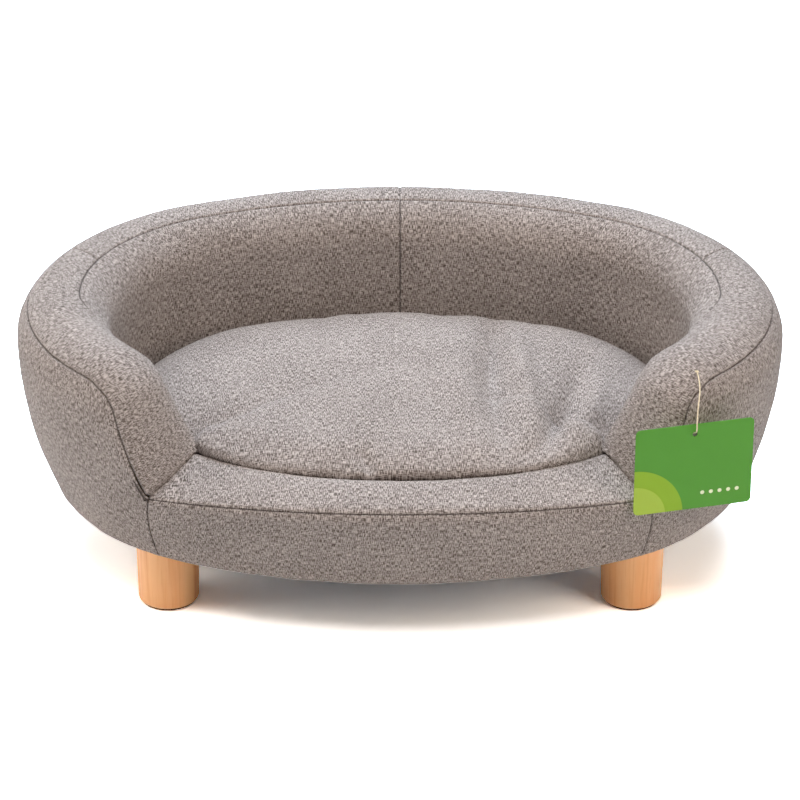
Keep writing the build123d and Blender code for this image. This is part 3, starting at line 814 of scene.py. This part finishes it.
# Seat cushion: a loose, well-filled pillow of the same cloth. Its front lip swells over the low front's rounded
# inner corner, and its right side has the soft folds of a cushion that has been sat on.
cushion_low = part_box("cushion_cover_base")[0].z
cushion_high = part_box("cushion_cover_top")[1].z
cushion_ease = 0.005
cushion_inset = 2 * roll_radius + cushion_ease
cushion_lip = 0.0345
lip_start = math.radians(30)
lip_full = math.radians(14)
lip_power = 2.2
lip_lift = 0.30
lip_lift_from = 0.9
top_start = 0.160
top_blend = 0.02
cushion_swell = 0.0011
cushion_swell_length = 0.16
unroll_depth = 0.04
fold_points = 48
side_profile = (
    (0.0, 0.02), (0.35, 0.01), (0.70, 0.0), (0.90, 0.03), (0.985, 0.18), (1.0, 0.42),
    (0.985, 0.62), (0.92, 0.755), (0.78, 0.88), (0.55, 0.96), (0.28, 0.995), (0.0, 1.0),
)
front_profile = (
    (0.0, 0.02), (0.35, 0.01), (0.70, 0.0), (0.90, 0.03), (0.965, 0.18), (0.985, 0.45),
    (1.10, 0.69), (1.85, 0.815), (2.05, 0.90), (1.60, 0.98), (0.80, 1.02), (0.0, 1.0),
)


def smooth_curve(spots, count):
    """Catmull-Rom curve through these spots, as an array of evenly counted points."""
    spots = np.array(spots)
    ends = [2 * spots[:1] - spots[1:2], spots, 2 * spots[-1:] - spots[-2:-1]]
    knots = np.concatenate(ends)
    place = np.linspace(0, len(spots) - 1, count)
    first = np.minimum(place.astype(int), len(spots) - 2)
    share = (place - first)[:, None]
    a, b, c, d = (knots[first + k] for k in range(4))
    return 0.5 * (2 * b + (c - a) * share + (2 * a - 5 * b + 4 * c - d) * share**2
                  + (3 * b - a - 3 * c + d) * share**3)


def cushion_form(turns=200, rings=72):
    """Closed pillow: at each bearing a profile from the middle of the base to the middle of the top, blended
    between the side's profile and the front's. Reaches up to 1 are shares of the seat's outline, and those from
    1 to 2 go on outwards, to the lip's edge."""
    bearing = np.linspace(0, math.tau, turns, endpoint=False)[:, None]
    side, front = smooth_curve(side_profile, rings), smooth_curve(front_profile, rings)
    turned = np.abs(bearing - 1.5 * math.pi)
    blend = 1 - np.clip((turned - lip_full) / (lip_start - lip_full), 0, 1) ** lip_power
    reach = side[:, 0] + (front[:, 0] - side[:, 0]) * blend
    lift = lip_lift * blend * (1 - blend) * (reach > lip_lift_from)
    level = side[:, 1] + (front[:, 1] - side[:, 1]) * blend + lift
    inset = cushion_inset - cushion_lip * np.clip(reach - 1, 0, None)
    points = outline(bearing, inset, 0.0) * np.minimum(reach, 1)[..., None]
    points[..., 2] = cushion_low + (cushion_high - cushion_low) * level
    return points


def rested(spots):
    """Points that would lie inside the low front are lifted onto its top, where the cushion rests on it."""
    bearing = np.arctan2(spots[:, 1] - long_centre, spots[:, 0])
    inset = long_radius - np.hypot(spots[:, 0], spots[:, 1] - long_centre)
    thick = front_top_shape(bearing)[1]
    over = (spots[:, 1] < 0) & (np.abs(bearing + math.pi / 2) < math.pi / 2 - end_bearing) & (inset < thick)
    spots[:, 2] = np.where(over, np.maximum(spots[:, 2], front_level(bearing, inset)), spots[:, 2])


def pillow_mesh(name, points):
    """Mesh of a closed form whose first and last rings shrink to a point."""
    turns, rings = points.shape[:2]
    body = points[:, 1:-1].transpose(1, 0, 2)
    corner = np.arange((rings - 2) * turns).reshape(rings - 2, turns)
    beside = np.roll(corner, -1, axis=1)
    faces = np.stack([corner[:-1], beside[:-1], beside[1:], corner[1:]], -1).reshape(-1, 4).tolist()
    low, high = corner.size, corner.size + 1
    faces += [[low, b, a] for a, b in zip(corner[0], beside[0])]
    faces += [[high, a, b] for a, b in zip(corner[-1], beside[-1])]
    spots = np.concatenate([body.reshape(-1, 3), points[:1, 0], points[:1, -1]])
    mesh = bpy.data.meshes.new(name)
    mesh.from_pydata(spots.tolist(), [], faces)
    return placed(name, mesh)


def coordinates(mesh):
    """The mesh's points as rows of x, y and z."""
    spots = np.empty(len(mesh.vertices) * 3)
    mesh.vertices.foreach_get("co", spots)
    return spots.reshape(-1, 3)


def applied(piece):
    """The piece's mesh with its modifiers worked in."""
    graph = bpy.context.evaluated_depsgraph_get()
    mesh = bpy.data.meshes.new_from_object(piece.evaluated_get(graph))
    piece.modifiers.clear()
    piece.data = mesh
    return mesh


def stuffed(piece, voxel, pressure, frames, cap):
    """Cloth under pressure without gravity, from an even remesh of the form. No point moves further than the cap."""
    remesh = piece.modifiers.new("even", "REMESH")
    remesh.mode = "VOXEL"
    remesh.voxel_size = voxel
    applied(piece)
    rest = coordinates(piece.data)
    cloth = piece.modifiers.new("stuffing", "CLOTH")
    cloth.settings.quality = 6
    cloth.settings.mass = 0.4
    cloth.settings.tension_stiffness = 20
    cloth.settings.compression_stiffness = 20
    cloth.settings.shear_stiffness = 8
    cloth.settings.bending_stiffness = 0.6
    cloth.settings.use_pressure = True
    cloth.settings.uniform_pressure_force = pressure
    cloth.settings.effector_weights.gravity = 0
    cloth.collision_settings.use_collision = False
    for step in range(1, frames + 1):
        scene.frame_set(step)
    mesh = applied(piece)
    moved = coordinates(mesh) - rest
    far = np.linalg.norm(moved, axis=1, keepdims=True)
    mesh.vertices.foreach_set("co", (rest + moved * np.minimum(1, cap / np.maximum(far, 1e-9))).ravel())
    scene.frame_set(1)


def fold(spots, line, width, depth):
    """Valley or ridge along a curve on the top: a narrow bell across it, fading towards both of its ends."""
    curve = smooth_curve(line, fold_points)
    away = np.linalg.norm(spots[:, None, :2] - curve, axis=2)
    ends = np.sin(np.linspace(0, math.pi, fold_points))
    return depth * ends[away.argmin(1)] * np.exp(-((away.min(1) / width) ** 2))


cushion = pillow_mesh("seat_cushion", cushion_form())
stuffed(cushion, voxel=0.006, pressure=4.0, frames=20, cap=0.005)
smoothing = cushion.modifiers.new("rounding", "SUBSURF")
smoothing.levels = 1
smoothing.render_levels = 1
cushion_mesh = applied(cushion)
spots = coordinates(cushion_mesh)
top = np.clip((spots[:, 2] - top_start) / top_blend, 0, 1)
# Folds, each as its curve across the bed, its width and its depth
folds = (
    (((0.104, 0.160), (0.096, 0.040), (0.096, -0.080), (0.110, -0.220)), 0.0135, -0.0150),
    (((0.066, 0.120), (0.060, 0.000), (0.063, -0.080), (0.074, -0.200)), 0.018, 0.0080),
    (((0.126, 0.100), (0.129, -0.022), (0.142, -0.210)), 0.014, 0.0090),
    (((0.192, 0.050), (0.178, -0.050), (0.160, -0.108), (0.146, -0.160), (0.124, -0.205)), 0.0125, -0.0150),
    (((0.210, 0.020), (0.200, -0.070), (0.184, -0.125), (0.166, -0.180)), 0.012, 0.0060),
    (((0.240, -0.080), (0.216, -0.145), (0.190, -0.182), (0.154, -0.208)), 0.0090, -0.0110),
    (((-0.038, -0.185), (-0.031, -0.208), (-0.026, -0.230)), 0.0055, -0.0050),
    (((-0.120, 0.020), (-0.060, -0.060), (0.030, -0.090)), 0.050, 0.0025),
)
for line, width, depth in folds:
    spots[:, 2] += top * fold(spots, line, width, depth)
spots[:, 2] += top * cushion_swell * swell(spots[:, 0], spots[:, 1], 77, cushion_swell_length)
rested(spots)
cushion_mesh.vertices.foreach_set("co", spots.ravel())
reach = np.maximum(np.linalg.norm(spots[:, :2], axis=1), 1e-6)
drop = np.maximum(cushion_high - spots[:, 2], 0)
lay_cloth(cushion_mesh, spots[:, :2] * (1 + np.minimum(drop / unroll_depth, 1) * drop / reach)[:, None])
cushion_mesh.polygons.foreach_set("use_smooth", np.ones(len(cushion_mesh.polygons), bool))
cushion_cloth = woven_cloth("taupe_melange_cushion_cloth")
cushion_mesh.materials.append(cushion_cloth)
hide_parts("cushion_cover_top", "cushion_cover_base", "cushion_fill")
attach(cushion, "cushion")

# Card tag: printed card with rounded corners and a satin coat, which hangs on the string by its hole. The print
# is green, with a pale arc at one corner and a row of small pale dots, the same on both sides.
card_green = linear(66, 134, 20)
arc_green = linear(132, 172, 28)
arc_pale = linear(160, 190, 66)
dot_pale = linear(236, 244, 214)
arc_centre = (-0.062, -0.050)
arc_radii = (0.052, 0.034)
first_dot = (0.010, -0.030)
dot_radius = 0.0021
dot_gap = 0.009
dot_count = 5
print_edge = 0.0003
tag_low, tag_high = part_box("hang_tag")
tag_middle = (tag_low + tag_high) / 2


def card_finish():
    """Green print in the card's own plane: discs, each where the distance from its centre is less than its
    radius, for the arc's two bands and the dots, over a faint grain."""
    shader = Shader("printed_card")
    place = shader.node("TexCoord").outputs["Object"]
    moved = shader.node("VectorMath", {0: place, 1: tag_middle}, operation="SUBTRACT").outputs[0]
    flat = shader.node("VectorRotate", {"Vector": moved, "Angle": -tag_turn}, rotation_type="Z_AXIS").outputs[0]
    axes = shader.node("SeparateXYZ", {0: flat}).outputs

    def disc(x, z, radius):
        dx = shader.math("SUBTRACT", axes[0], x)
        dz = shader.math("SUBTRACT", axes[2], z)
        square = shader.math("ADD", shader.math("MULTIPLY", dx, dx), shader.math("MULTIPLY", dz, dz))
        distance = shader.math("SQRT", square)
        return shader.spread(distance, radius - print_edge, radius + print_edge, 1.0, 0.0)

    color = shader.mix(disc(*arc_centre, arc_radii[0]), card_green, arc_green)
    color = shader.mix(disc(*arc_centre, arc_radii[1]), color, arc_pale)
    for step in range(dot_count):
        color = shader.mix(disc(first_dot[0] + dot_gap * step, first_dot[1], dot_radius), color, dot_pale)
    grain = shader.noise(shader.object_place((900, 900, 900)), 2.0)
    color = shader.mix(shader.math("MULTIPLY", grain, 0.06), color, linear(30, 60, 12))
    shader.bump(grain, 0.00003)
    return shader.finish(color, 0.5, specular_ior_level=0.3)


paint(["hang_tag"], card_finish())

# Studio: a pale floor that shows white where no shadow falls, under a faint even sky. Four broad soft lamps light
# the bed: a cool one high behind it, and warm ones over its front and at both sides.
floor_size = 5.0
floor_color = linear(240, 239, 238)
floor_extra = (2.2, 2.4, 2.6, 1)
sky_strength = 0.02
sky_color = linear(250, 243, 238)
lamp_aim = Vector((0, 0, 0.12))


def flat_sheet(name, size):
    """Level square round the origin."""
    corners = np.array([(-1, -1, 0), (1, -1, 0), (1, 1, 0), (-1, 1, 0)]) * size / 2
    return mesh_piece(name, corners, np.array([[0, 1, 2, 3]]))


def seen_directly(shader):
    """1 for what the camera, a mirror or glass sees, and 0 for light that falls on the object."""
    rays = shader.node("LightPath").outputs
    seen = shader.math("MAXIMUM", rays["Is Camera Ray"], rays["Is Glossy Ray"])
    return shader.math("MAXIMUM", seen, rays["Is Transmission Ray"])


def floor_finish():
    """Pale matt floor. Seen directly it gives back more of the light that falls on it, so that it shows white
    where it lies open and keeps its shadow."""
    shader = Shader("pale_floor")
    shader.finish(floor_color, 0.9, specular_ior_level=0.0)
    boost = seen_directly(shader)
    tinted = shader.mix(boost, (0, 0, 0, 1), floor_extra)
    extra = shader.node("BsdfDiffuse", {"Color": tinted}).outputs[0]
    both = shader.node("AddShader", {0: shader.surface.outputs[0], 1: extra}).outputs[0]
    shader.feed(shader.tree.nodes["Material Output"].inputs["Surface"], both)
    return shader.material


floor = flat_sheet("studio_floor", floor_size)
floor.data.materials.append(floor_finish())

world = bpy.data.worlds.new("studio_sky")
world.use_nodes = True
scene.world = world
sky = world.node_tree
background = sky.nodes["Background"]
rays = sky.nodes.new("ShaderNodeLightPath")
direct = sky.nodes.new("ShaderNodeMath")
direct.operation = "MAXIMUM"
sky.links.new(rays.outputs["Is Camera Ray"], direct.inputs[0])
sky.links.new(rays.outputs["Is Transmission Ray"], direct.inputs[1])
tint = sky.nodes.new("ShaderNodeMix")
tint.data_type = "RGBA"
sky.links.new(direct.outputs[0], tint.inputs[0])
tint.inputs[6].default_value = sky_color
tint.inputs[7].default_value = (1, 1, 1, 1)
power = sky.nodes.new("ShaderNodeMix")
sky.links.new(direct.outputs[0], power.inputs[0])
power.inputs[2].default_value = sky_strength
power.inputs[3].default_value = 1.0
sky.links.new(tint.outputs[2], background.inputs["Color"])
sky.links.new(power.outputs[0], background.inputs["Strength"])


def area_lamp(name, place, size, watts, color):
    """Square soft lamp at a place, pointed at the bed."""
    data = bpy.data.lights.new(name, "AREA")
    data.shape = "SQUARE"
    data.size = size
    data.energy = watts
    data.color = color
    lamp = placed(name, data)
    lamp.location = place
    lamp.rotation_euler = (lamp_aim - Vector(place)).to_track_quat("-Z", "Y").to_euler()


area_lamp("overhead_lamp", (0, 1.6, 2.2), 2.0, 86, (0.77, 0.88, 0.98))
area_lamp("top_lamp", (0, -1.0, 2.6), 1.6, 44, (1, 0.90, 0.83))
area_lamp("left_lamp", (-2.4, 0, 1.4), 1.8, 35, (1, 0.87, 0.75))
area_lamp("right_lamp", (2.2, -1.4, 1.6), 1.6, 28, (1, 0.83, 0.68))

scene.view_settings.view_transform = "Standard"
